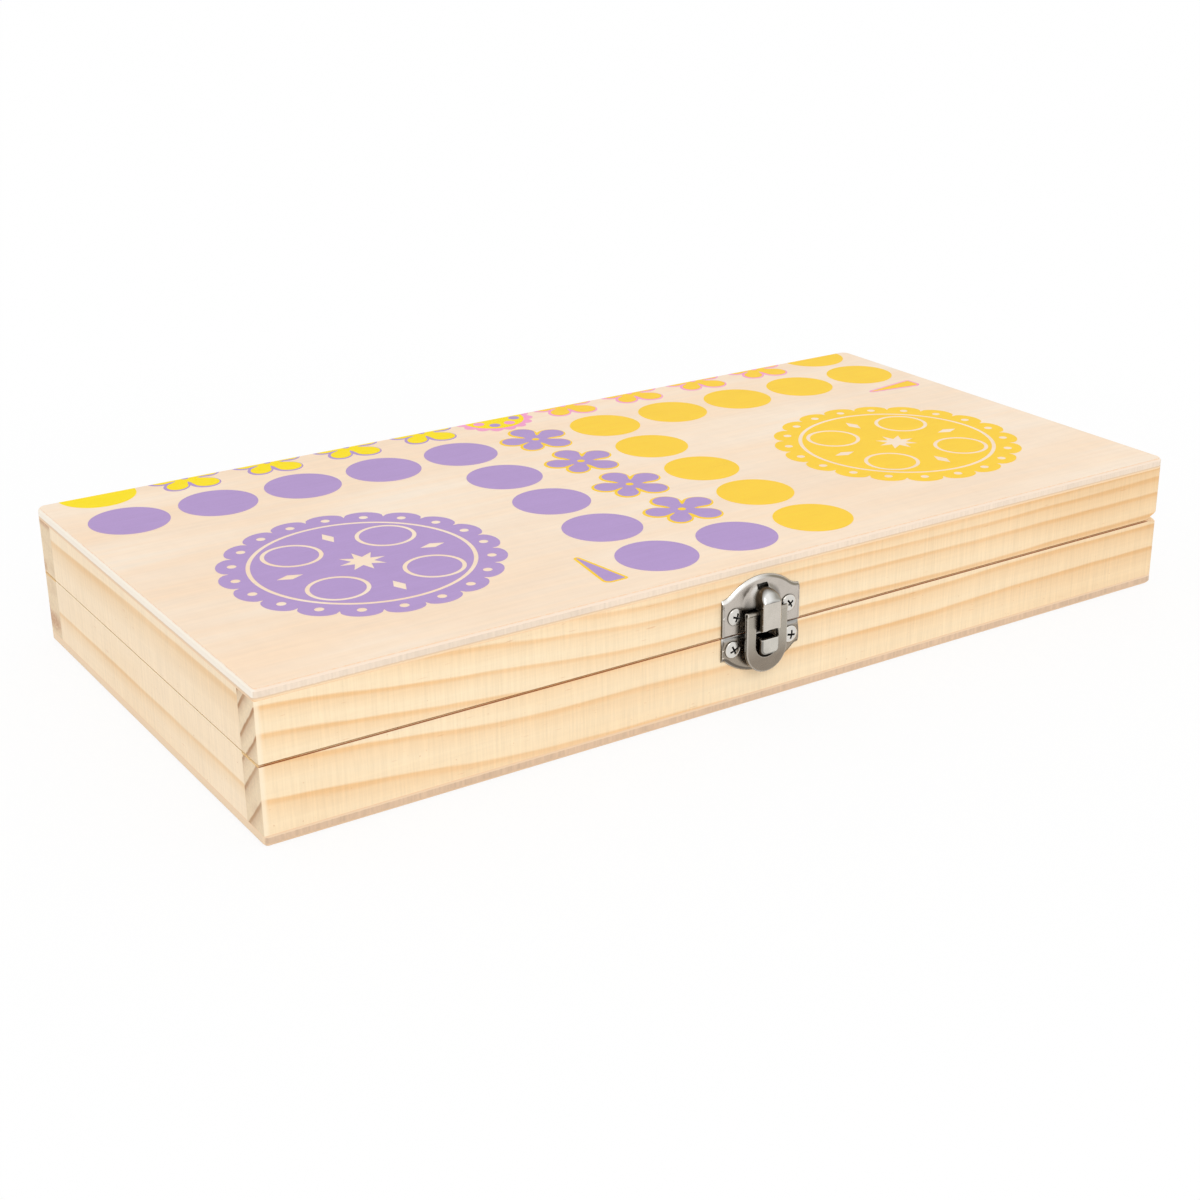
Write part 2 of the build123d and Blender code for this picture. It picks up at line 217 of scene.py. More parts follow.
# ---- pine
# How dark the wood is, from 0 to 1, at heights above and below a growth line.
RING_SHAPE = ((0.45, 0), (0, 1), (-0.55, 0.95), (-1.2, 0.5), (-2.6, 0.26), (-4.4, 0))
FIELD_LOW, FIELD_HIGH = -10, 60  # heights that the ramp of the rings covers
HALF_LENGTH, HALF_WIDTH = 140, 71  # the faces of the rails from the middle
# Painted seam shade: a dark line in the rim colour on the rails' faces, and an orange one on their
# ends, close under the rims.
SEAM_DROP = 0.12  # the dark line of the seam lies this much below the rims
RIMS = box("upper_front_rail")[0][2] - SEAM_DROP, box("lower_front_rail")[1][2] - SEAM_DROP
SAWN = (1, 0.03, 0.05)  # stretch of the saw marks, which stand across the board
FRONT_LOOK = dict(early=srgb(253, 232, 197), late=srgb(245, 203, 151), left_corner_highlight=0.6)
BACK_LOOK = dict(FRONT_LOOK, face=HALF_WIDTH, end_rings=0.12, left_corner_highlight=0)
SIDE_LOOK = dict(early=srgb(254, 233, 203), late=srgb(243, 207, 158),
                 rim_colour=srgb(255, 236, 200), along="Y")
LEFT_LOOK = dict(SIDE_LOOK, face=-HALF_LENGTH, slant=0.4)
RIGHT_LOOK = dict(SIDE_LOOK, face=HALF_LENGTH, slant=-0.5)

# The front rails' growth lines, as (place along, fall), run out towards the left.
UPPER_COURSE = ((-145, 0), (-122, 2.2), (-103, 4.8), (-86, 6.3), (-67, 8.3), (-49, 10.4),
                (-31, 11.4), (9, 12), (54, 13.4), (91, 12.9), (145, 12.5))
LOWER_COURSE = ((-145, 0), (-136, 0.8), (-122, 2.3), (-104, 4.2), (-86, 6.6), (-67, 8.1),
                (-31, 8.6), (9, 9.7), (54, 10.6), (82, 9.7), (145, 9.7))
# Each rail's growth lines, their course and its look.
RAILS = {
    "upper_front_rail": ((48, 45, 40.9, 34.4, 27.8), UPPER_COURSE,
                         dict(FRONT_LOOK, seed=2, darken=0.75, end_rings=1.25)),
    "lower_front_rail": ((28.3, 21.2, 11.9, 2.8), LOWER_COURSE,
                         dict(FRONT_LOOK, seed=6, darken=0.62, wide=1.2)),
    "upper_back_rail": ((36, 30.5, 24.5), ((-145, 0), (0, -3), (145, -4)),
                        dict(BACK_LOOK, slant=-0.25, seed=31,
                             smudges=((69.5, 22, 3.4, 2), (65, 35.2, 7, 1.4)))),
    "lower_back_rail": ((21, 13.5, 6.5), ((-145, 0), (0, 2), (145, 3)),
                        dict(BACK_LOOK, slant=-0.3, seed=37,
                             smudges=((65.5, 6.8, 7, 3), (69.5, 8, 2.2, 4)))),
    "upper_left_end_rail": ((33.6,), ((-75, 0), (0, 0.8), (75, 2.4)),
                            dict(LEFT_LOOK, seed=41, wide=1.8)),
    "lower_left_end_rail": ((11.6,), ((-75, 0), (75, 0.5)),
                            dict(LEFT_LOOK, seed=43, sway=0.25)),
    "upper_right_end_rail": ((33.5, 26), ((-75, 0), (75, 5)), dict(RIGHT_LOOK, seed=47)),
    "lower_right_end_rail": ((17, 9.5), ((-75, 0), (75, -4)), dict(RIGHT_LOOK, seed=53)),
}


def ring_level(above):
    """How dark the wood is at a height above a growth line, from 0 to 1."""
    for (high, level_high), (low, level_low) in zip(RING_SHAPE, RING_SHAPE[1:]):
        if low <= above <= high:
            return level_low + (level_high - level_low) * (above - low) / (high - low)
    return 0


def pine(name, rings, course, early, late, along="X", slant=1.07, seed=0, face=-HALF_WIDTH,
         sway=0.5, wide=1, darken=0, rim_colour=srgb(142, 66, 0), end_rings=1,
         smudges=(), left_corner_highlight=0):
    """Pine with growth rings that run along one axis and show on the end grain.

    rings are heights of growth lines on the face at the start of the board; course lists
    (place along, fall of the lines) and slant is their fall per mm into the board.  early
    and late are a ring's colours, sway is how far the lines wander, wide how far they
    spread downwards and darken how much warmer the right end is.  end_rings is the
    strength of the rings on the cut ends, smudges lists (depth, height, half depth, half
    height) of brown marks there, and left_corner_highlight is how strong the painted
    highlight on the eased left corner is.  rim_colour is the colour of the painted seam
    shade just below the rims.
    """
    wood = Finish(name, seed)
    x, y, z = wood.split(wood.place)
    normal_x, normal_y, normal_z = wood.split(wood.facing)
    length, depth = (x, y) if along == "X" else (y, x)

    def grain(step, scale, detail, run, into=1, up=1):
        """Noise stretched along the board, into it and upwards."""
        return wood.noise(step, scale, detail, (run, into, up) if along == "X" else (into, run, up))

    first, last = course[0][0], course[-1][0]
    deepest = max(abs(fall) for _, fall in course)
    path = [((at - first) / (last - first), fall / deepest / 2 + 0.5) for at, fall in course]
    sink = wood.ramp(wood.span(length, first, last), path, "B_SPLINE")
    height = wood.math("MULTIPLY_ADD", wood.minus(depth, face), slant, z)
    height = wood.plus(height, wood.times(wood.minus(sink, 0.5), 2 * deepest))
    height = wood.plus(height, wood.vary(grain(1, 0.06, 2, 0.12), -sway, sway))
    height = wood.plus(height, wood.vary(grain(0, 0.35, 3, 0.12), -0.22, 0.22, 0.25))

    def darkness(at):
        return max(ring_level((at - ring) / (wide if at < ring else 1)) for ring in rings)

    heights = {ring + above * (wide if above < 0 else 1)
               for ring in rings for above, _ in RING_SHAPE}
    field = FIELD_HIGH - FIELD_LOW
    stops = [((at - FIELD_LOW) / field, darkness(at)) for at in sorted(heights)]
    ring = wood.ramp(wood.span(height, FIELD_LOW, FIELD_HIGH), stops)
    ring = wood.times(ring, wood.vary(grain(5, 0.03, 2, 0.5), 0.72, 1.05))
    saw = grain(11, 1.9, 3, *SAWN)
    coarse_saw = grain(13, 0.28, 3, *SAWN)
    fibre = grain(17, 1.3, 5, 0.02)
    cloud = grain(23, 0.035, 3, 0.5)
    fleck = grain(27, 0.8, 1, 0.22, 1, 2.2)
    speck = grain(28, 1.7, 1, 0.6)

    side = wood.mix(ring, early, late)
    warmth = wood.vary(cloud, 0, 0.3)
    if darken:
        warmth = wood.plus(warmth, wood.span(length, 40, 140, 0, darken, "SMOOTHSTEP"))
    side = wood.mix(warmth, side, wood.mix(ring, srgb(247, 216, 172), srgb(230, 180, 120)))
    side = wood.tint(side, wood.vary(saw, 0.938, 1.045, 0.25), wood.vary(coarse_saw, 0.985, 1.01),
                     wood.vary(fibre, 0.975, 1.02, 0.25))
    side = wood.stain(side, srgb(214, 150, 92), fleck, 0.75, 0.82, 0, 0.35)
    side = wood.stain(side, srgb(206, 146, 92), speck, 0.76, 0.82, 0, 0.5)
    # Painted highlight on the eased left corner.
    if left_corner_highlight:
        side = wood.stain(side, srgb(254, 240, 214), x, LEFT + 0.7, LEFT + 1.5, left_corner_highlight, 0)
    outside = wood.times(wood.span(wood.gap(depth, face), 0.4, 0.8, 1, 0),
                         wood.span(wood.size(normal_z), 0.6, 0.9, 1, 0))
    # Painted seam shade: the rim colour on the outer faces just below each rim.
    for rim in RIMS:
        arris = wood.span(wood.gap(z, rim), 0.08, 0.26, 1, 0)
        side = wood.mix(wood.times(arris, outside), side, rim_colour)

    pores = wood.noise(29, 1.6, 4)
    blotch = wood.noise(31, 0.16, 3)
    rays = wood.noise(33, 0.9, 3, (1, 1, 0.25))
    end_ring = wood.times(wood.math("POWER", ring, 1.2), wood.vary(blotch, 0.7, 1.1))
    end = wood.mix(wood.times(end_ring, end_rings), srgb(238, 215, 181), srgb(178, 132, 90))
    end = wood.stain(end, srgb(214, 182, 148), blotch, 0.55, 0.78, 0, 0.4)
    for at_depth, at_height, half_depth, half_height in smudges:
        off_depth = wood.math("DIVIDE", wood.minus(depth, at_depth), half_depth)
        off_height = wood.math("DIVIDE", wood.minus(z, at_height), half_height)
        off = wood.vector("LENGTH", wood.join(off_depth, off_height, wood.vary(pores, 0, 0.7)))
        end = wood.stain(end, srgb(196, 148, 110), off, 0.4, 1.2, 0.8, 0)
    # Painted seam shade on the end grain near each rim.
    for rim in RIMS:
        end = wood.stain(end, srgb(240, 190, 108), wood.gap(z, rim), 0.12, 0.4, 0.8, 0)
    end = wood.tint(end, wood.vary(pores, 0.92, 1.06, 0.25), wood.vary(rays, 0.96, 1.03))
    cut_end = wood.span(wood.size(normal_x if along == "X" else normal_y), 0.75, 0.95)
    wood.bump(wood.plus(wood.times(saw, 0.7), fibre), 0.05, 0.4)
    return wood.surface(Base_Color=wood.mix(cut_end, side, end), Roughness=0.55,
                        Specular_IOR_Level=0.3)


# ---- plywood
VENEER = 0.62  # thickness of the face veneers of the three-ply


def plywood(half, seed=0, core=srgb(246, 227, 206), side=srgb(253, 243, 228),
            crown_side=srgb(248, 226, 204), ragged_edge=0.08):
    """Three-ply for the upper or the lower panel: veneered faces, layered edges.

    core is the middle ply where the front cuts its end grain, side both it and the top ply
    along the short sides, crown_side the top ply on the front, and ragged_edge how uneven
    the cut end grain is.
    """
    (_, _, bottom), (_, _, top) = box(f"{half}_board_panel")
    ply = Finish(f"plywood_{half}", seed)
    _, _, z = ply.split(ply.place)
    _, normal_y, normal_z = ply.split(ply.facing)
    figure = ply.noise(0, 0.03, 3, (0.3, 1, 1))
    bands = ply.noise(3, 0.022, 2, (0.25, 1, 1))
    bands = ply.math("PINGPONG", ply.times(bands, 7), 1)
    bands = ply.span(bands, 0.15, 1, kind="SMOOTHSTEP")
    flecks = ply.noise(7, 0.7, 3, (0.1, 1, 1))
    streaks = ply.noise(8, 0.22, 3, (0.06, 1, 1))
    curl = ply.noise(15, 0.3, 2, (1, 0.35, 1))
    face = ply.stain(srgb(255, 237, 215), srgb(254, 227, 197), figure, 0.35, 0.68)
    face = ply.mix(ply.times(bands, 0.42), face, srgb(248, 218, 186))
    face = ply.stain(face, srgb(252, 219, 182), streaks, 0.42, 0.72, 0, 0.36)
    face = ply.tint(face, ply.vary(flecks, 0.968, 1.02, 0.25), ply.vary(streaks, 0.982, 1.014),
                    ply.vary(curl, 0.988, 1.01))

    fibres = ply.noise(9, 1.3, 3, (1, 1, 0.06))
    pores = ply.noise(11, 1.1, 4, (1, 1, 0.5))
    blotch = ply.noise(13, 0.05, 3, (1, 1, 0.3))
    grain = ply.noise(19, 1.5, 3, (1, 0.03, 1))
    core_end = ply.stain(core, ply.tint(core, 0.84), blotch, 0.42, 0.7, 0, 0.55)
    core_end = ply.tint(core_end, ply.vary(fibres, 1 - ragged_edge, 1 + ragged_edge / 2, 0.25),
                        ply.vary(pores, 0.96, 1.02))
    core_long = ply.tint(side, ply.vary(grain, 0.955, 1.02, 0.25))
    on_front = ply.span(ply.size(normal_y), 0.45, 0.75)
    middle = ply.mix(on_front, core_long, core_end)
    under = ply.mix(on_front, srgb(238, 208, 173), srgb(249, 220, 181))
    under = ply.tint(under, ply.vary(grain, 0.96, 1.02, 0.25))
    crown = ply.mix(on_front, side, crown_side)
    ragged = ply.math("MULTIPLY_ADD", fibres, 0.24, ply.minus(z, 0.12))
    above = ply.minus(ragged, bottom + VENEER)
    below = ply.minus(ragged, top - VENEER)
    edge = ply.stain(under, middle, above, -0.05, 0.05)
    edge = ply.stain(edge, crown, below, -0.05, 0.05)
    edge = ply.stain(edge, srgb(226, 194, 160), ply.size(above), 0.05, 0.28, 0.75, 0)
    from_skin = ply.math("MINIMUM", ply.minus(z, bottom), ply.minus(top, z))
    hairline = ply.times(ply.span(from_skin, 0.02, 0.3, 0.8, 0),
                         ply.span(pores, 0.35, 0.6, 0.4, 1))
    edge = ply.mix(hairline, edge, srgb(246, 200, 154))
    flat = ply.span(ply.size(normal_z), 0.85, 0.98)
    ply.bump(ply.plus(flecks, ply.times(fibres, 0.5)), 0.03, 0.3)
    return ply.surface(Base_Color=ply.mix(flat, edge, face), Roughness=0.5,
                       Specular_IOR_Level=0.35)


# ---- metal
# Sheared edges and side walls: darker cut metal with painted shade over it.
CUT_EDGE_AND_SHADE = srgb(92, 82, 70)


def open_air(metal, reach, inside=False):
    """1 in the open and less within reach of other surfaces, or of an outer edge if inside."""
    near = metal.node("ShaderNodeAmbientOcclusion", samples=12, inside=inside)
    return metal.put(near, Distance=reach * MM).outputs["AO"]


def satin_metal(name, colour, roughness, seed=0, cut=CUT_EDGE_AND_SHADE, corner_shade=0.1, slope_shade=False,
                zones=(), crease=None, bevels=None, edge_highlight=0.5):
    """Plated sheet metal: tumbling marks, painted corner shade and painted edge highlights.

    cut is the colour of the sheared edges and side walls, or None: partly darker cut metal,
    partly painted shade.  corner_shade is the brightness that painted shade leaves in the
    corners.  slope_shade paints shade on faces that turn left or right, such as what is
    pressed out of the flat.  zones lists (axis, start, end, colour), colours that take over
    along an axis, and crease is the height of a fine line of painted shade.  bevels is the
    pair of colours of the rims that look up: a painted highlight on their left and painted
    shade on their right.  edge_highlight is the strength of the painted highlight on the edges.
    """
    metal = Finish(name, seed)
    _, y, z = metal.split(metal.place)
    normal_x, normal_y, normal_z = metal.split(metal.facing)
    haze = metal.noise(0, 0.35, 3)
    grit = metal.noise(3, 3.5, 3)
    marks = metal.noise(5, 2.2, 2, (1, 1, 0.12))
    shade = colour
    for axis, start, end, other in zones:
        shade = metal.stain(shade, other, {"y": y, "z": z}[axis], start, end)
    # A fine line of painted shade at the crease height.
    if crease:
        shade = metal.tint(shade, metal.span(metal.gap(z, crease), 0.1, 0.28, 0.25, 1))
    shade = metal.tint(shade, metal.vary(haze, 0.95, 1.05), metal.vary(grit, 0.97, 1.03))
    # Painted shade on faces that turn left, unless they look up, and on faces that turn right.
    if slope_shade:
        leftward = metal.minus(metal.times(normal_x, -1), metal.times(normal_z, 1.2))
        shade = metal.tint(shade, metal.span(leftward, 0.04, 0.32, 1, 0.42),
                           metal.span(normal_x, 0.05, 0.3, 1, 0.5))
    # Painted highlight on upward rims that turn left, painted shade on those that turn right.
    if bevels:
        painted_bevel_tone = metal.stain(*bevels, normal_x, -0.08, 0.12)
        shade = metal.stain(shade, painted_bevel_tone, normal_z, 0.2, 0.4, 0, 0.85)
    # Sheared edges and side walls take the cut colour: partly darker cut metal, partly painted
    # shade.
    if cut:
        shade = metal.stain(shade, cut, metal.size(normal_y), 0.25, 0.65, 1, 0)
    # Painted highlight: a pale colour laid along the outer edges.
    near_edge = open_air(metal, 0.5, inside=True)
    shade = metal.stain(shade, srgb(228, 222, 212), near_edge, 0.6, 0.92, edge_highlight, 0)
    # Painted shade in the corners and close to other parts.
    shade = metal.tint(shade, metal.span(open_air(metal, 1.7), 0.42, 0.9, corner_shade, 1))
    rough = metal.times(metal.vary(haze, 0.85, 1.2), roughness)
    rough = metal.times(rough, metal.vary(marks, 0.9, 1.12))
    metal.bump(metal.plus(grit, marks), 0.01, 0.25)
    return metal.surface(Base_Color=shade, Metallic=1, Roughness=rough)


# ---- ink
def ink(name, colour, seed):
    """Screen print on the veneer: even colour, a little wood grain through it."""
    film = Finish(name, seed)
    grain = film.noise(0, 0.9, 3, (0.06, 1, 1))
    mottle = film.noise(4, 0.16, 3)
    dots = film.noise(8, 2.6, 2)
    shade = film.tint(colour, film.vary(grain, 0.98, 1.03, 0.25),
                      film.vary(mottle, 0.995, 1.02), film.vary(dots, 0.98, 1.02))
    film.bump(film.plus(grain, dots), 0.01, 0.2)
    return film.surface(Base_Color=shade, Roughness=0.6, Specular_IOR_Level=0.18)


def dress(material, *names):
    for name in names:
        nodes[name].data.materials.clear()
        nodes[name].data.materials.append(material)


def dress_cad():
    """Gives every carried-over CAD node its material."""
    for node, (rings, course, look) in RAILS.items():
        short = node.removesuffix("_rail").removesuffix("_end")
        dress(pine(f"pine_{short}", rings, course, **look), node)
    dress(plywood("upper"), "upper_board_panel")
    dress(plywood("lower", seed=9, core=srgb(229, 199, 170), side=srgb(243, 217, 184),
                  crown_side=srgb(240, 212, 180), ragged_edge=0.14), "lower_board_panel")
    # The first three stand behind the finer pieces that replace them.
    dress(satin_metal("plain_nickel", srgb(192, 186, 177), 0.28),
          "latch_base_plate", "latch_lid_plate", "latch_tongue")
    # Loop: near-black side walls as painted shade and a strong painted highlight on its edges; it
    # is lighter from z 13 to 19.
    dress(satin_metal("loop_nickel", srgb(141, 130, 117), 0.26, seed=8, cut=srgb(44, 38, 30),
                      zones=(("z", 13, 19, srgb(172, 165, 153)),), edge_highlight=0.9),
          "latch_loop")
    screws = [name for name in nodes if "screws" in name]
    hinges = [name for name in nodes if "_hinge_" in name and name not in screws]
    # Hinges and screws get painted shade in their corners.
    dress(satin_metal("hinge_nickel", srgb(200, 196, 188), 0.34, seed=12, cut=None, corner_shade=0.35),
          *hinges)
    dress(satin_metal("zinc_screw", srgb(220, 216, 210), 0.28, seed=21, cut=None, corner_shade=0.3),
          *screws)


dress_cad()


# ---- latch in detail
# The latch is drawn on the front face: x along the front from the latch's middle, z up,
# and rise is the height out from the wood.
LATCH_X, PIVOT_Y, PIVOT_Z = joint_at["loop_swing"]
SHEET = 0.8
PLATE_HALF = 12
SCREW_HEAD = 2.25  # radius of the screws' heads
BURIED = 0.02  # how deep a formed part's foot starts in the plate it stands on


def vertex(shape, x, z, rise):
    return shape.verts.new(Vector(((LATCH_X + x) * MM, (FRONT - rise) * MM, z * MM)))


def sweep(end, steps, start=0):
    """Evenly spaced numbers from start to end, both included."""
    return [start + (end - start) * i / steps for i in range(steps + 1)]


def as_mesh(shape, name, material):
    """A mesh with outward normals from a bmesh, which is used up."""
    bmesh.ops.recalc_face_normals(shape, faces=shape.faces[:])
    mesh = bpy.data.meshes.new(name)
    shape.to_mesh(mesh)
    shape.free()
    mesh.materials.append(material)
    return mesh


def finish_piece(shape, name, body, stands_for, material, sharp):
    """Turns a bmesh into a smooth-shaded object that takes a CAD node's place."""
    mesh = as_mesh(shape, name, material)
    mesh.shade_smooth()
    mesh.set_sharp_from_angle(angle=radians(sharp))
    piece = add_object(name, mesh)
    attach(piece, body)
    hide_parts(stands_for)


def raised_front(shape, loops, inside, rise):
    """Adds a front whose height is rise(x, z); returns the vertices along each loop."""
    points, edges, rows = [], [], []
    for loop in loops:
        row = range(len(points), len(points) + len(loop))
        edges += zip(row, [*row[1:], row[0]])
        points += loop
        rows.append(row)
    found, _, faces, origins, _, _ = delaunay_2d_cdt(
        [Vector(point) for point in points + inside], edges, [], 4, 1e-5)
    at = {source: i for i, group in enumerate(origins) for source in group}
    used = {i for face in faces for i in face}
    corners = {i: vertex(shape, *found[i], rise(*found[i])) for i in used}
    for face in faces:
        shape.faces.new([corners[i] for i in face])
    return [[corners[at[i]] for i in row] for row in rows]


def strip(shape, first, second, closed=True):
    """Joins two rows of vertices by four-sided faces."""
    count = len(first)
    for i in range(count if closed else count - 1):
        j = (i + 1) % count
        shape.faces.new([first[i], first[j], second[j], second[i]])


def distance(x, z, line):
    """Distance from a point to an open polyline."""
    best = inf
    for (ax, az), (bx, bz) in zip(line, line[1:]):
        dx, dz = bx - ax, bz - az
        share = max(0, min(1, ((x - ax) * dx + (z - az) * dz) / (dx * dx + dz * dz or 1)))
        best = min(best, hypot(x - ax - share * dx, z - az - share * dz))
    return best


def inset(line, by):
    """An open polyline moved to its right by a distance."""
    moved = []
    for i, (x, z) in enumerate(line):
        (ax, az), (bx, bz) = line[max(i - 1, 0)], line[min(i + 1, len(line) - 1)]
        size = hypot(bx - ax, bz - az)
        moved.append((x + by * (bz - az) / size, z - by * (bx - ax) / size))
    return moved


def inside_of(x, z, loop):
    """Whether a point lies inside a closed loop."""
    hit = False
    for (ax, az), (bx, bz) in zip(loop, loop[1:] + loop[:1]):
        if (az > z) != (bz > z) and x < (bx - ax) * (z - az) / (bz - az) + ax:
            hit = not hit
    return hit


def clear_of(point, loops, keep_off):
    """Whether a point lies inside the first loop, outside the others and off their edges."""
    return (sum(inside_of(*point, loop) for loop in loops) == 1
            and all(distance(*point, loop + loop[:1]) > keep_off for loop in loops))


def grid_inside(loops, step, keep_off):
    """Staggered grid points inside the first loop and off every loop's edge."""
    xs, zs = zip(*loops[0])
    points, z, odd = [], min(zs) + step / 2, False
    while z < max(zs):
        x = min(xs) + step * (0.5 if odd else 0.25)
        while x < max(xs):
            if clear_of((x, z), loops, keep_off):
                points.append((x, z))
            x += step
        z += step * 0.87  # about the height of a triangle with equal sides
        odd = not odd
    return points


def polar(x, y, reach, count, first=0):
    """A closed loop about a point from a function of angle that gives the radius.

    first is how far round it starts, as a share of one step.
    """
    angles = [tau * (i + first) / count for i in range(count)]
    return [(x + reach(a) * cos(a), y + reach(a) * sin(a)) for a in angles]


def circle(x, y, radius, count, first=0):
    return polar(x, y, lambda angle: radius, count, first)


def arched_edge(ear_z, arch_half, arch_foot_z, crown_z):
    """The plate's arch with its two scooped ears, from the left ear to the right one."""
    rise = crown_z - arch_foot_z
    radius = (arch_half ** 2 + rise ** 2) / (2 * rise)
    spread = asin(arch_half / abs(radius))
    arch = [(abs(radius) * sin(a), crown_z - radius + radius * cos(a))
            for a in sweep(spread, 44, -spread)]
    way = 1 if rise > 0 else -1
    reach = PLATE_HALF - arch_half
    middle = (arch_half + reach / 2, arch_foot_z - reach / 2 * way * tan(spread))
    scoop = []
    for t in sweep(1, 7)[1:]:
        shares = ((1 - t) ** 2, 2 * t * (1 - t), t * t)
        curve = zip((arch_half, arch_foot_z), middle, (PLATE_HALF, ear_z))
        scoop.append(tuple(sum(s * p for s, p in zip(shares, axis)) for axis in curve))
    return [(-x, z) for x, z in reversed(scoop)] + arch + scoop


def screw_holes(node):
    (left, _, bottom), (right, _, top) = box(node)
    reach = (right - left) / 2 - SCREW_HEAD
    return [circle(side * reach, (bottom + top) / 2, 1.1, 20) for side in (-1, 1)]


ROLL = 1  # width of the rolled edge
ROLL_DROP = 0.66  # how far it is rolled down


def pressed_plate(edge, straight, cutouts, form=None, straight_bevel=0):
    """A sheet plate from its arched edge to its straight one, with its edges rolled down.

    edge runs with the plate on its right, cutouts are the holes, form(x, z) is what is
    pressed out of the flat and straight_bevel is how far the straight edge is rolled.
    """
    ear_x, ear_z = edge[0]
    side = [(ear_x, straight + (ear_z - straight) * share) for share in (0, 0.5, 0.8, 0.92)]
    loops = [side + edge + [(-x, z) for x, z in reversed(side)]] + cutouts

    def rise(x, z):
        outer = max(0, 1 - distance(x, z, edge) / ROLL)
        rolled = ROLL_DROP * (0.3 * outer + 0.7 * outer * outer)
        eased = 0.12 * max(0, 1 - (PLATE_HALF - abs(x)) / 0.22)
        bevel = straight_bevel * max(0, 1 - abs(z - straight)) ** 1.5
        return SHEET + (form(x, z) if form else 0) - rolled - eased - bevel

    inside = [p for p in grid_inside(loops, 0.55, 0.3)
              if distance(*p, edge) > ROLL + 0.25 and abs(p[1] - straight) > ROLL + 0.3]
    bands = [p for by in (0.17, 0.34, 0.52, 0.7, 0.86, 1, 1.06) for p in inset(edge, by)]
    toward = 1 if ear_z > straight else -1
    for depth in (0.25, 0.5, 0.75, 1, 1.1):
        bands += [(PLATE_HALF * (i / 20 - 1), straight + toward * depth) for i in range(1, 40)]
    for depth in (0.22, 0.4):
        bands += [(way * (PLATE_HALF - depth), z) for way in (-1, 1) for _, z in side[1:]]
    inside += [p for p in bands if clear_of(p, loops, 0.12)]
    shape = bmesh.new()
    backs = []
    for loop, rim in zip(loops, raised_front(shape, loops, inside, rise)):
        back = [vertex(shape, x, z, 0) for x, z in loop]
        strip(shape, rim, back)
        backs += back
    for triangle in tessellate_polygon([[Vector((x, z, 0)) for x, z in loop] for loop in loops]):
        shape.faces.new([backs[i] for i in triangle])
    return shape


def build_lid_plate(material):
    """Lid plate: rolled arch, pressed dome with a soft foot, slot and screw holes."""
    (_, _, bottom), (_, _, crown) = box("latch_lid_plate")
    edge = arched_edge(bottom + 9.6, 8.7, crown - 3.1, crown)
    dome_z, dome_radius, dome_height = PIVOT_Z + 1.35, 5.6, 1.35
    ball = (dome_radius ** 2 + dome_height ** 2) / (2 * dome_height)
    soft_foot = 0.012  # square of the width over which the dome runs out

    def dome(x, z):
        off = hypot(x, z - dome_z)
        if off > 9:
            return 0
        cap = sqrt(ball ** 2 - off ** 2) - ball + dome_height
        return 0.5 * (cap + sqrt(cap * cap + soft_foot))

    slot_foot, slot_top = 30.9, 32.2
    slot = [(-1.3, slot_foot), (1.3, slot_foot), (1.2, slot_top), (-1.2, slot_top)]
    shape = pressed_plate(edge, bottom, [slot] + screw_holes("lid_latch_screws"), dome)
    finish_piece(shape, "lid_plate_detail", "lid", "latch_lid_plate", material, 24)


LUG_HALF, LUG_HEIGHT, LUG_CORNER, LUG_EDGE = 2.8, 4.3, 1.6, 0.6


def lug_path(inset_by, top):
    """The catch lug's walls seen from the front: down, round the two corners and up."""
    half, radius = LUG_HALF - inset_by, LUG_CORNER - inset_by
    foot = top - LUG_HEIGHT + inset_by
    turn = [(radius * cos(a), radius * sin(a)) for a in sweep(pi / 2, 8)]
    left = [(-half, top)] + [(-half + radius - x, foot + radius - z) for x, z in turn]
    return left + [(-x, z) for x, z in reversed(left)]


def build_base_plate(material):
    """Base plate: rolled arch and top edge, and the formed lug, hollow and open at the top."""
    (_, front, bottom), (_, _, top) = box("latch_base_plate")
    proud, lug_top = FRONT - front, top - 1
    edge = arched_edge(top - 6.4, 10.6, bottom + 4.1, bottom)[::-1]
    cutouts = [lug_path(SHEET, lug_top)] + screw_holes("base_latch_screws")
    shape = pressed_plate(edge, top, cutouts, straight_bevel=0.5)

    def ring(by, rise):
        return [vertex(shape, x, z, rise) for x, z in lug_path(by, lug_top)]

    walls = [ring(0, SHEET - BURIED)]
    walls += [ring(LUG_EDGE * (1 - cos(a)), proud - LUG_EDGE * (1 - sin(a)))
              for a in sweep(pi / 2, 6)]
    hollow = [ring(SHEET, proud - SHEET), ring(SHEET, SHEET - BURIED)]
    for first, second in zip(walls, walls[1:]):
        strip(shape, first, second, closed=False)
    strip(shape, *hollow, closed=False)
    strip(shape, hollow[1], walls[0], closed=False)
    shape.faces.new(walls[-1])
    shape.faces.new(hollow[0])
    shape.faces.new([wall[0] for wall in walls] + [wall[-1] for wall in reversed(walls)]
                    + [hollow[1][-1], hollow[0][-1], hollow[0][0], hollow[1][0]])
    finish_piece(shape, "base_plate_detail", "base", "latch_base_plate", material, 24)


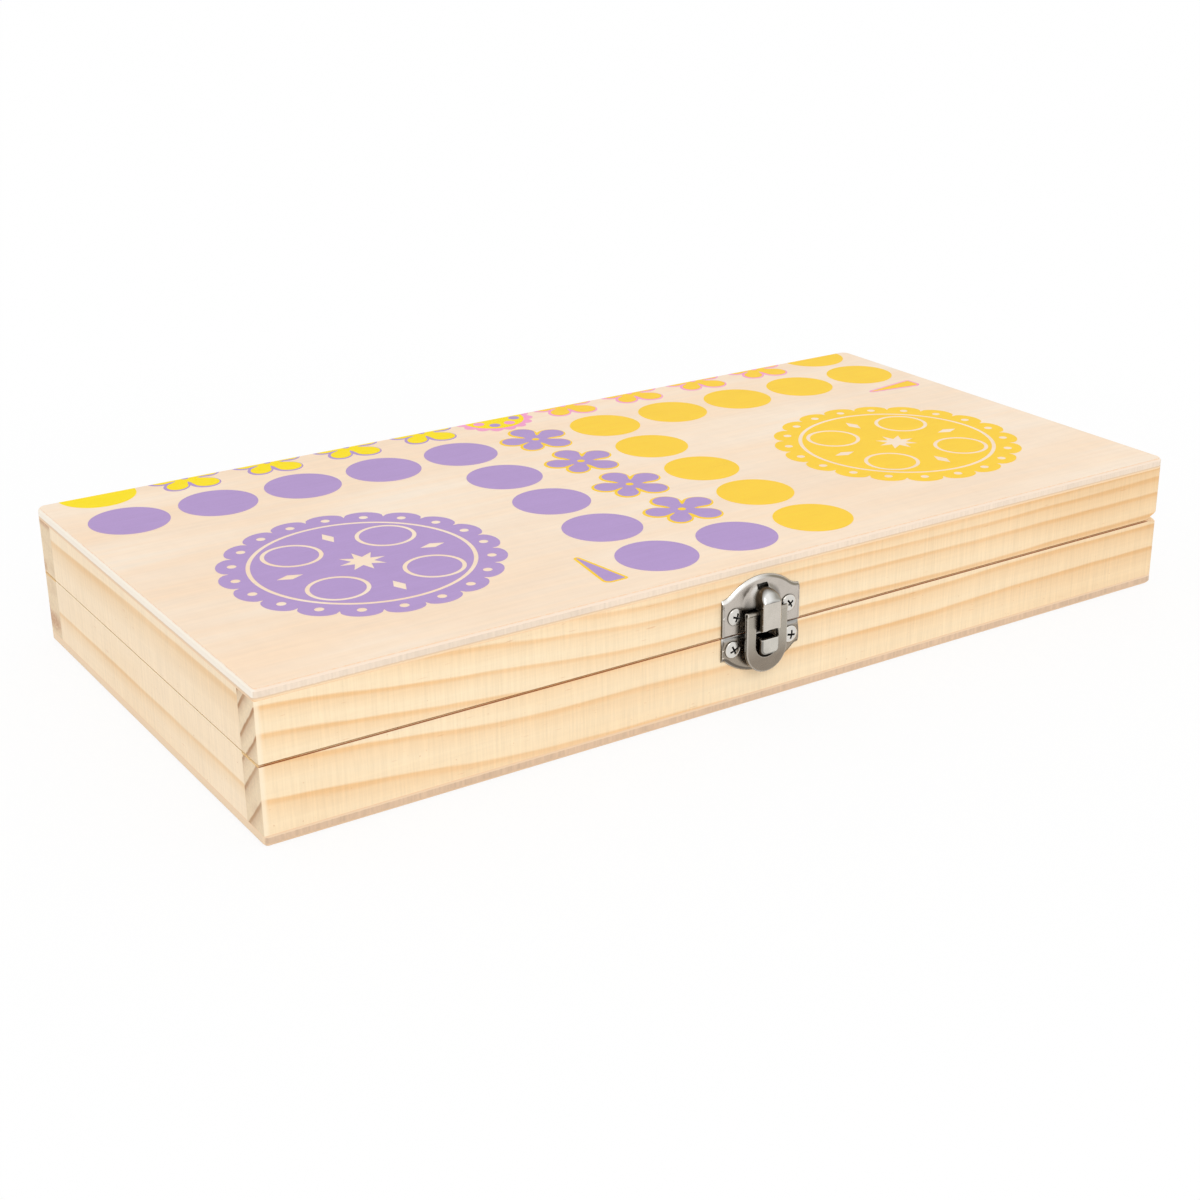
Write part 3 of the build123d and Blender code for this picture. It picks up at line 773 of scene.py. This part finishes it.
def build_tongue(material):
    """Hood tongue: flat brushed front, rounded crown, notches for the loop's bar."""
    (_, face, foot), (_, _, top) = box("latch_tongue")
    half, proud = 2.85, FRONT - face
    arc_z = top - half  # where the straight sides end
    crease, crown_height = 28.7, 4.2  # start of the crown, and its height over the flat front
    deep = 0.95 / crown_height  # how far the crown has curved back at the crease
    edge_round = 0.75
    notch, pivot_rise = 0.85, FRONT - PIVOT_Y
    heights = [foot + 0.45 * i for i in range(int((PIVOT_Z - notch - foot) / 0.45))]
    heights += [PIVOT_Z + notch * sin(radians(a)) for a in range(-90, 91, 15)]
    heights += [PIVOT_Z + notch + 0.3 * i for i in range(1, 7)] + [arc_z - 0.12]

    def over(radius):
        return [(-radius * cos(a), arc_z + radius * sin(a)) for a in sweep(pi, 36)]

    left = [(-half, z) for z in heights]
    chain = left + over(half) + [(-x, z) for x, z in reversed(left)]

    def off_edge(x, z):
        return half - (abs(x) if z < arc_z else hypot(x, z - arc_z))

    def rise(x, z):
        reach = proud
        if z > crease:
            bow = (x / half) ** 2
            proud_here = proud - 0.5 * bow * min(1, (z - crease) / 0.8)
            level = deep + (z - crease) / crown_height * (1 + 0.1 * bow)
            curve = sqrt(max(0, 1 - level * level)) / sqrt(1 - deep * deep)
            reach = SHEET + (proud_here - SHEET + 0.08) * curve
        edge = min(edge_round, max(0, edge_round - off_edge(x, z)))
        return max(SHEET + 0.2, reach - (edge_round - sqrt(edge_round ** 2 - edge * edge)))

    def seat(z):
        """How far out the side walls start: on the plate, or round the loop's bar."""
        if abs(z - PIVOT_Z) < notch - 1e-6:
            return pivot_rise + sqrt(notch ** 2 - (z - PIVOT_Z) ** 2)
        return 1

    inside = []
    for depth in (0.05, 0.16, 0.33, 0.53, 0.75):
        side = half - depth
        rows = range(1, int((arc_z - foot) / 0.4))
        inside += [(way * side, foot + 0.4 * i) for way in (-1, 1) for i in rows] + over(side)
        inside += [(way * side, crease + gap) for way in (-1, 1) for gap in (0, 0.04)]
    x = -half + 0.95
    while x < half - 0.9:
        inside += [(x, foot + 0.6 * i) for i in range(1, int((crease - foot) / 0.6))]
        inside += [(x, crease + gap) for gap in (0, 0.04, 0.4, 0.8, 1.2, 1.6, 2, 2.4)]
        x += 0.38
    shape = bmesh.new()
    front, = raised_front(shape, [chain], [p for p in inside if off_edge(*p) > 0.03], rise)
    back = [vertex(shape, x, z, seat(z)) for x, z in chain]
    strip(shape, front, back, closed=False)
    count = len(chain)
    for i in range(count // 2):
        a, b, c, d = back[i], back[i + 1], back[count - 2 - i], back[count - 1 - i]
        shape.faces.new([a, b, c, d] if b is not c else [a, b, d])
    shape.faces.new([front[0], back[0], back[-1], front[-1]])
    finish_piece(shape, "tongue_detail", "lid", "latch_tongue", material, 28)


RIM_RISE, CROWN_RISE, CROWN_RADIUS = 0.42, 0.5, 2.05  # the screws' round heads
ARM_WIDTH, ARM_LENGTH = 0.27, 1.18  # half of the cross recess's arms
SHANK, SHANK_END, TIP_END = 1, -5.4, -6.3


def build_screws(name, node, body, turns, material):
    """Pan-head cross-recessed screws, each turned a little differently."""
    (left, _, bottom), (right, _, top) = box(node)
    centre_x, centre_z = (left + right) / 2 - LATCH_X, (bottom + top) / 2
    spacing = (right - left) / 2 - SCREW_HEAD
    tip = atan2(ARM_WIDTH, ARM_LENGTH)
    square = pi / 2
    quarter = [-tip, -tip / 2, 0, tip / 2, tip, 0.36, 0.52, pi / 4, square - 0.52, square - 0.36]
    angles = [share + square * i for i in range(4) for share in quarter]

    def cross(angle, shrink=1):
        """How far the recess reaches at an angle."""
        a = (angle + pi / 4) % square - pi / 4
        if abs(a) <= tip + 1e-9:
            return ARM_LENGTH * shrink / cos(a)
        return ARM_WIDTH * shrink / abs(sin(a))

    def dome(radius):
        over = 1 - (radius / CROWN_RADIUS) ** 2 if radius < CROWN_RADIUS else 0
        return SHEET + RIM_RISE + CROWN_RISE * over

    shape = bmesh.new()
    for side, turn in zip((-1, 1), turns):
        def vert(radius, angle, rise):
            a = angle + radians(turn)
            x = centre_x + side * spacing + radius * cos(a)
            z = centre_z + radius * sin(a)
            return vertex(shape, x, z, rise)

        def crown(share):
            """A row on the domed head, a share of the way from the recess to the rim."""
            radii = [cross(a) + share * (CROWN_RADIUS - cross(a)) for a in angles]
            return [vert(radius, a, dome(radius)) for radius, a in zip(radii, angles)]

        rings = [crown(share) for share in (0, 0.08, 0.2, 0.35, 0.5, 0.65, 0.8, 0.92, 1)]
        below = ((2.18, SHEET + 0.35), (SCREW_HEAD, SHEET + 0.22), (SCREW_HEAD, SHEET),
                 (SHANK, SHEET), (SHANK, SHANK_END), (0.12, TIP_END))
        rings += [[vert(radius, a, rise) for a in angles] for radius, rise in below]
        for outer, inner in zip(rings, rings[1:]):
            strip(shape, outer, inner)
        shape.faces.new(rings[-1])
        wall = [vert(cross(a, 0.97), a, dome(cross(a)) - 0.12) for a in angles]
        floor = [vert(cross(a, 0.62), a, SHEET + 0.12) for a in angles]
        middle = vert(0, 0, SHEET - 0.1)
        strip(shape, rings[0], wall)
        strip(shape, wall, floor)
        for first, second in zip(floor, floor[1:] + floor[:1]):
            shape.faces.new([first, second, middle])
    finish_piece(shape, name, body, node, material, 38)


def build_latch():
    # Lid plate: painted shade on the dome's slopes, a painted highlight on the left of the rolled
    # arch and painted shade on its right.
    plate = satin_metal("plate_nickel", srgb(194, 186, 177), 0.22, seed=2, slope_shade=True,
                        bevels=(srgb(246, 244, 240), srgb(128, 120, 104)))
    # Base plate: a darker copy of the plate nickel as painted shade, with a lighter top band as
    # painted reflection and a lighter lug as painted light.
    base_plate = satin_metal("base_plate_nickel", srgb(158, 147, 133), 0.24, seed=6, slope_shade=True,
                             zones=(("z", 18.7, 19.4, srgb(178, 176, 172)),
                                    ("y", FRONT - 1.6, FRONT - 4, srgb(205, 201, 192))))
    # Tongue: painted shade on the crown and in a fine line at its crease, a painted highlight up on
    # the left, painted shade on the right and on the side walls.
    bright = satin_metal("tongue_nickel", srgb(204, 197, 187), 0.2, seed=4,
                         cut=srgb(84, 74, 62), crease=28.8,
                         zones=(("z", 28.7, 28.9, srgb(160, 156, 146)),),
                         bevels=(srgb(240, 240, 238), srgb(152, 148, 138)))
    # Screws: painted shade in the recesses and round the heads.
    zinc = satin_metal("latch_screw_zinc", srgb(217, 214, 208), 0.24, seed=21, corner_shade=0.14)
    build_lid_plate(plate)
    build_base_plate(base_plate)
    build_tongue(bright)
    build_screws("lid_screws_detail", "lid_latch_screws", "lid", (-17, 33), zinc)
    build_screws("base_screws_detail", "base_latch_screws", "base", (24, -9), zinc)


build_latch()


# ---- the print
# Board coordinates are in mm from the front left corner of the lid; a point past the
# fold lies on the underside of the base, and both halves are one picture when open.
PITCH = 24.826
BOARD_X, BOARD_Y = 140.97, 141.59  # the middle of the whole board
FOLD = joint_at["lid_hinge"].y - FRONT
PRINT_LIMIT = FOLD - 0.9  # the print stops where the panel's edge is eased
SPACE_RADIUS = 10.6
BLOSSOM_OUTLINE, ARROW_OUTLINE = 0.65, 0.75
LAYER = 0.02  # each ink layer stands this much above the one below
SUNK = 0.03  # how deep the ink reaches into the panel


def disc(x, y, radius, count=72):
    return [circle(x, y, radius, count)]


# Each petal's direction in degrees, its length and its breadth.
PETALS = ((91, 1, 1), (19, 0.98, 1), (-60, 1, 1), (-128, 0.93, 0.8), (168, 0.93, 0.92))
# The two ellipses of a petal: the middle's distance, half the length and half the breadth.
PETAL_OVALS = ((7.4, 3.7, 3.65), (5.2, 5.6, 2.3))


def petal_reach(angle, petal, grow):
    """How far a ray from the middle runs inside one petal."""
    degrees, long, broad = petal
    off = (angle - radians(degrees) + pi) % tau - pi
    best = 0
    for middle, half_along, half_across in PETAL_OVALS:
        half_along, half_across = half_along * long + grow, half_across * broad + grow
        along, across = cos(off) / half_along, sin(off) / half_across
        square = along * along + across * across
        half = along * middle * long / half_along
        root = half * half - square * ((middle * long / half_along) ** 2 - 1)
        if root > 0 and half + sqrt(root) > 0:
            best = max(best, (half + sqrt(root)) / square)
    return best


def blossom(x, y, grow=0):
    """The plain five-petalled flower of the home column."""
    def reach(angle):
        return max(2.2 + grow, *(petal_reach(angle, petal, grow) for petal in PETALS))
    return [polar(x, y, reach, 160)]


def rounded(points, radii, grow):
    """A convex outline with a radius at each corner, moved outwards by grow."""
    loop = []
    for i, radius in enumerate(radii):
        here = Vector(points[i])
        before = (Vector(points[i - 1]) - here).normalized()
        after = (Vector(points[(i + 1) % len(points)]) - here).normalized()
        half = before.angle(after) / 2
        centre = here + (before + after).normalized() * radius / sin(half)
        first = (here + before * radius / tan(half)) - centre
        last = (here + after * radius / tan(half)) - centre
        for turn in sweep(-first.angle_signed(last), 6):
            spoke = first.copy()
            spoke.rotate(Matrix.Rotation(turn, 2))
            loop.append(tuple(centre + spoke.normalized() * (radius + grow)))
    return [loop]


def arrow(turn, grow=0):
    """The start mark beside a player's first space: a slim pointer towards the middle."""
    corners = [(-45, -132.1), (-39.5, -132.1), (-42.4, -113.3)]
    return rounded([place(corner, turn) for corner in corners], (1.2, 0.3, 0.22), grow)


def place(offset, turn):
    """A point given from the board's middle for the first player, turned to player turn."""
    x, y = offset
    for _ in range(turn):
        x, y = -y, x
    return BOARD_X + x, BOARD_Y + y


def yard(turn):
    """A player's yard: a scalloped medallion with four waiting rings and a star."""
    x, y = place((-87, -86), turn)
    scallops = 20

    def edge(angle):
        off = 2 * abs((angle * scallops / tau) % 1 - 0.5)
        return 32.6 + 3.4 * sqrt(max(0, 1 - off ** 2))

    def star(angle):
        return 6.4 if round(angle / (tau / 16)) % 2 == 0 else 2.9

    rim = [polar(x, y, edge, 400)]
    for scallop in circle(x, y, 32, scallops, 0.5):
        rim += disc(*scallop, 1.2, 20)
    rim += disc(x, y, 28.6, 120)
    field, seats = disc(x, y, 27.5, 120), []
    for seat in circle(x, y, 13.1 * sqrt(2), 4, 0.5):
        field += disc(*seat, 7.9, 48)
        seats.append(disc(*seat, 6.8, 48))
    field.append(polar(x, y, star, 16))
    for i, middle in enumerate(circle(x, y, 19.6, 4)):
        field += diamond(*middle, 3.6, 1.6, tau * i / 4)
    return [rim, field] + seats


def diamond(x, y, along, across, angle):
    corners = [(along, 0), (0, across), (-along, 0), (0, -across)]
    c, s = cos(angle), sin(angle)
    return [[(x + a * c - b * s, y + a * s + b * c) for a, b in corners]]


# Steps from the board's middle to one player's spaces, along the two arms of the track.
TRACK = [(a, -1) for a in range(-5, 0)] + [(-1, b) for b in range(-5, -1)] + [(0, -5)]


def print_layers():
    """All printed shapes by ink and layer; each shape is an outline and its holes."""
    players = ("purple", "golden", "pink", "yellow")
    shapes = {}

    def add(colour, layer, *new):
        shapes.setdefault((colour, layer), []).extend(new)

    for turn, own in enumerate(players):
        outline = players[(turn + 1) % 4]
        for a, b in TRACK:
            add(own, 2, disc(*place((a * PITCH, b * PITCH), turn), SPACE_RADIUS))
        for b in range(-4, 0):
            x, y = place((0, b * PITCH), turn)
            x += 0.5
            add(outline, 1, blossom(x - 0.35, y - 0.25, BLOSSOM_OUTLINE))
            add(own, 2, blossom(x, y))
            add(outline, 3, disc(x - 0.2, y - 0.1, 1.1, 20))
        add(outline, 1, arrow(turn, ARROW_OUTLINE))
        add(own, 2, arrow(turn))
        add(own, 2, *yard(turn))
    add("pink", 1, [polar(BOARD_X, BOARD_Y, lambda a: 11 + 1.5 * abs(cos(8 * a)), 192)])
    add("yellow", 2, disc(BOARD_X, BOARD_Y, 9.6))
    for i, middle in enumerate(circle(BOARD_X, BOARD_Y, 6.6, 8, 0.5)):
        add("purple" if i % 2 else "pink", 3, disc(*middle, 1.7, 28))
    return shapes


def print_board():
    """Thin closed solids of ink, cut at the fold: one half on the lid, one on the base."""
    colours = {"purple": srgb(181, 153, 205), "golden": srgb(255, 211, 58),
               "yellow": srgb(255, 228, 0), "pink": srgb(247, 166, 205)}
    inks = {name: ink(f"{name}_ink", colour, seed)
            for seed, (name, colour) in enumerate(colours.items(), 1)}
    for (colour, layer), shapes in print_layers().items():
        for body, faces_up in (("lid", True), ("base", False)):
            sheet = ink_sheet(shapes, layer, faces_up)
            if sheet:
                name = f"print_{colour}_{layer}_{body}"
                piece = add_object(name, as_mesh(sheet, name, inks[colour]))
                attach(piece, body)


def ink_sheet(shapes, layer, faces_up):
    """One layer on the lid's or the base's half of the board, or None if it is empty."""
    sheet = bmesh.new()
    for loops in shapes:
        flat = [[Vector((x, y, 0)) for x, y in loop] for loop in loops]
        corners = [sheet.verts.new(point) for loop in flat for point in loop]
        for triangle in tessellate_polygon(flat):
            sheet.faces.new([corners[i] for i in triangle])
    limit = PRINT_LIMIT if faces_up else 2 * FOLD - PRINT_LIMIT
    bmesh.ops.bisect_plane(
        sheet, geom=sheet.verts[:] + sheet.edges[:] + sheet.faces[:], dist=1e-6,
        plane_co=(0, limit, 0), plane_no=(0, 1 if faces_up else -1, 0), clear_outer=True)
    if not sheet.faces:
        return None
    thick = bmesh.ops.extrude_face_region(sheet, geom=sheet.faces[:], use_keep_orig=True)
    lifted = [made for made in thick["geom"] if isinstance(made, bmesh.types.BMVert)]
    bmesh.ops.translate(sheet, vec=(0, 0, 1), verts=lifted)
    for vert in sheet.verts:
        x, y, on_top = vert.co
        height = LAYER * layer if on_top else -SUNK
        y, z = (y, TOP + height) if faces_up else (2 * FOLD - y, -height)
        vert.co = ((x + LEFT) * MM, (y + FRONT) * MM, z * MM)
    return sheet


print_board()


# ---- camera
def place_camera():
    """The photograph's viewpoint; its frame is 1200 by 1200 pixels."""
    eye = Vector((-0.28296, -0.4279, 0.21156))
    gaze = Vector((0.512286, 0.771861, -0.376555))
    roll = radians(-0.3112)
    focal_pixels, frame_pixels = 1957.4, 1200
    centre_x, centre_y = 621.50, 598.45
    lens = bpy.data.cameras.new("camera")
    camera = add_object("camera", lens)
    camera.location = eye
    camera.rotation_mode = "QUATERNION"
    camera.rotation_quaternion = gaze.to_track_quat("-Z", "Y") @ Quaternion((0, 0, 1), roll)
    lens.sensor_width = 36.0
    lens.lens = lens.sensor_width * focal_pixels / frame_pixels
    lens.shift_x = (frame_pixels / 2 - centre_x) / frame_pixels
    lens.shift_y = (centre_y - frame_pixels / 2) / frame_pixels
    lens.clip_start, lens.clip_end = 0.01, 20.0
    scene.camera = camera


# ---- floor and lighting
def make_floor():
    """A white floor that glows for the camera and still takes the object's shadow."""
    paint = Finish("floor_paint")
    white = paint.tint(srgb(255, 255, 255), paint.vary(paint.noise(0, 0.02, 2.0), 0.998, 1.0))
    paint.surface(Base_Color=white, Roughness=0.9, Specular_IOR_Level=0.1)
    glow = paint.node("ShaderNodeEmission").outputs[0]
    far = paint.vector("LENGTH", paint.vector("MULTIPLY", paint.place, (1, 1, 0)))
    share = paint.times(paint.seen_directly(), paint.span(far, 150, 330, 0.86, 0.99))
    blend = paint.fill(paint.node("ShaderNodeMixShader"), share, paint.shader.outputs[0], glow)
    paint.put(paint.tree.nodes["Material Output"], Surface=blend)
    shape = bmesh.new()
    bmesh.ops.create_circle(shape, cap_ends=True, radius=4.0, segments=96)
    floor = add_object("floor", as_mesh(shape, "floor", paint.material))
    floor.location.z = -0.1 * MM


def light_scene():
    """White walls all round, brighter where they are seen directly, and one softbox."""
    world = bpy.data.worlds.new("studio")
    world.use_nodes = True
    scene.world = world
    sky = Nodes(world.node_tree)
    walls = [sky.fill(light, srgb(255, 255, 255), strength) for light, strength in
             ((sky.tree.nodes["Background"], 0.88), (sky.node("ShaderNodeBackground"), 1.0))]
    blend = sky.fill(sky.node("ShaderNodeMixShader"), sky.seen_directly(), *walls)
    sky.put(sky.tree.nodes["World Output"], Surface=blend)
    lamp = bpy.data.lights.new("key_softbox", "AREA")
    lamp.shape, lamp.size, lamp.energy = "SQUARE", 0.5, 2.2
    softbox = add_object("key_softbox", lamp)
    softbox.location = (-0.3, -0.95, 0.85)
    softbox.rotation_mode = "QUATERNION"
    softbox.rotation_quaternion = (-softbox.location).to_track_quat("-Z", "Y")


place_camera()
make_floor()
light_scene()

scene.view_settings.view_transform = "Standard"
